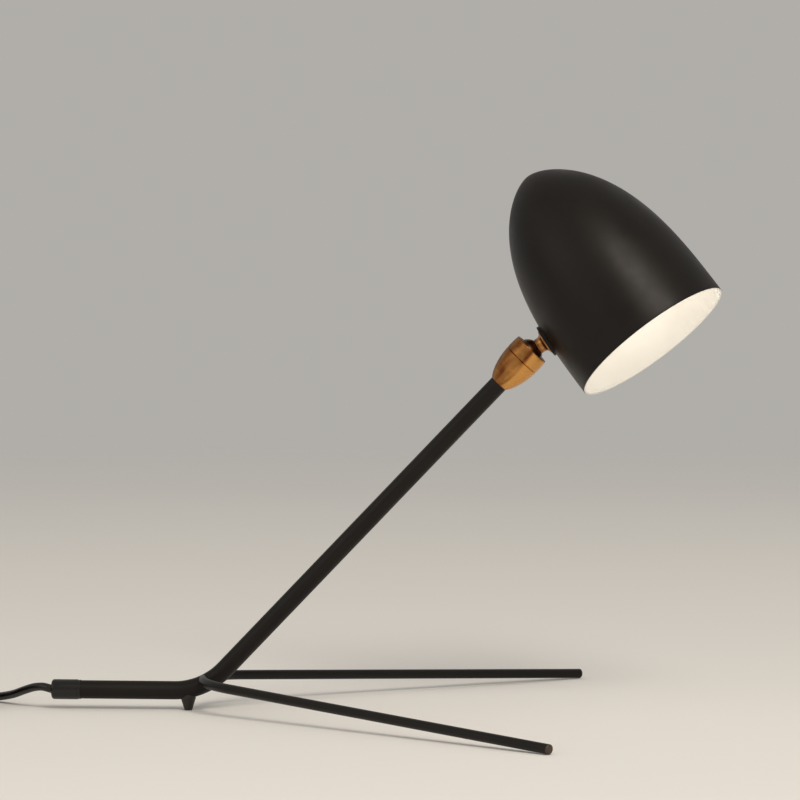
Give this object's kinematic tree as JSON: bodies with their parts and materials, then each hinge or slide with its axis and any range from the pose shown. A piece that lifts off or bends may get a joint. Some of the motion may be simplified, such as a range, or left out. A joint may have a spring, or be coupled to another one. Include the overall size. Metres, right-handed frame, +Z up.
{
  "type": "tripod table lamp",
  "caption": "Table lamp on a bent tube with splayed leg rods and a peg foot; a pointed shade turns on a brass ball joint; cord with rocker switch and plug.",
  "frame": {"origin": "middle of the foot peg's flat end, on the table", "axes": "+Z up, +X from the peg towards the shade, -Y the side that is seen"},
  "size_m": [0.5196, 0.3844, 0.3231],
  "materials": {
    "black_paint": "satin black paint",
    "black_plastic": "glossy black plastic",
    "tip_plastic": "dull dark brown plastic",
    "cord": "glossy black round flex",
    "brass": "fine turned brass, lightly aged",
    "dark_brass": "dark patinated brass",
    "steel": "plain bright steel",
    "pin_metal": "nickel plated",
    "bakelite": "dark brown phenolic",
    "white_nylon": "white nylon",
    "opal_glass": "opal, lit warm white",
    "rocker_plastic": "dull black plastic"
  },
  "bodies": {
    "base": {"stand_tube": "black_paint", "leg_left": "black_paint", "leg_right": "black_paint", "leg_tips": "tip_plastic", "foot_peg": "black_plastic", "end_bush": "black_plastic", "cord_grip": "white_nylon", "tube_flex": "cord", "arm_nipple": "steel", "socket_cup": "brass", "socket_collar": "brass", "seat_spring": "steel", "cord_run": "cord", "cord_coil": "cord", "cord_to_switch": "cord", "cord_to_plug": "cord", "switch_base": "black_plastic", "switch_cover": "black_plastic", "switch_screws": "steel", "plug_body": "black_plastic", "plug_pins": "pin_metal"},
    "seat": {"ball_seat": "dark_brass"},
    "ball": {"ball": "dark_brass"},
    "head": {"ball_stem": "brass", "stem_clip": "steel", "saddle_washer": "black_plastic", "shade": "black_paint", "inner_washer": "steel", "stem_nut": "steel", "holder_bracket": "steel", "bracket_screws": "steel", "lampholder": "bakelite", "holder_thread": "brass", "holder_contact": "brass", "bulb_cap": "steel", "bulb_globe": "opal_glass", "head_flex": "cord"},
    "rocker": {"switch_rocker": "rocker_plastic"}
  },
  "joints": [
    {"name": "ball_swivel", "type": "hinge", "parent": "base", "child": "seat", "pos_m": [0.20291, 0, 0.21399], "axis": [0.6909, 0, 0.723], "range_deg": [-170, 170]},
    {"name": "ball_tilt", "type": "hinge", "parent": "seat", "child": "ball", "pos_m": [0.20291, 0, 0.21399], "axis": [0, -1, 0], "range_deg": [-19, 44]},
    {"name": "head_spin", "type": "hinge", "parent": "ball", "child": "head", "pos_m": [0.20291, 0, 0.21399], "axis": [0.8339, 0, 0.5519], "range_deg": [-165, 165]},
    {"name": "switch_rock", "type": "hinge", "parent": "base", "child": "rocker", "pos_m": [-0.18472, -0.055, 0.0128], "axis": [1, 0, 0], "range_deg": [0, 14]}
  ]
}
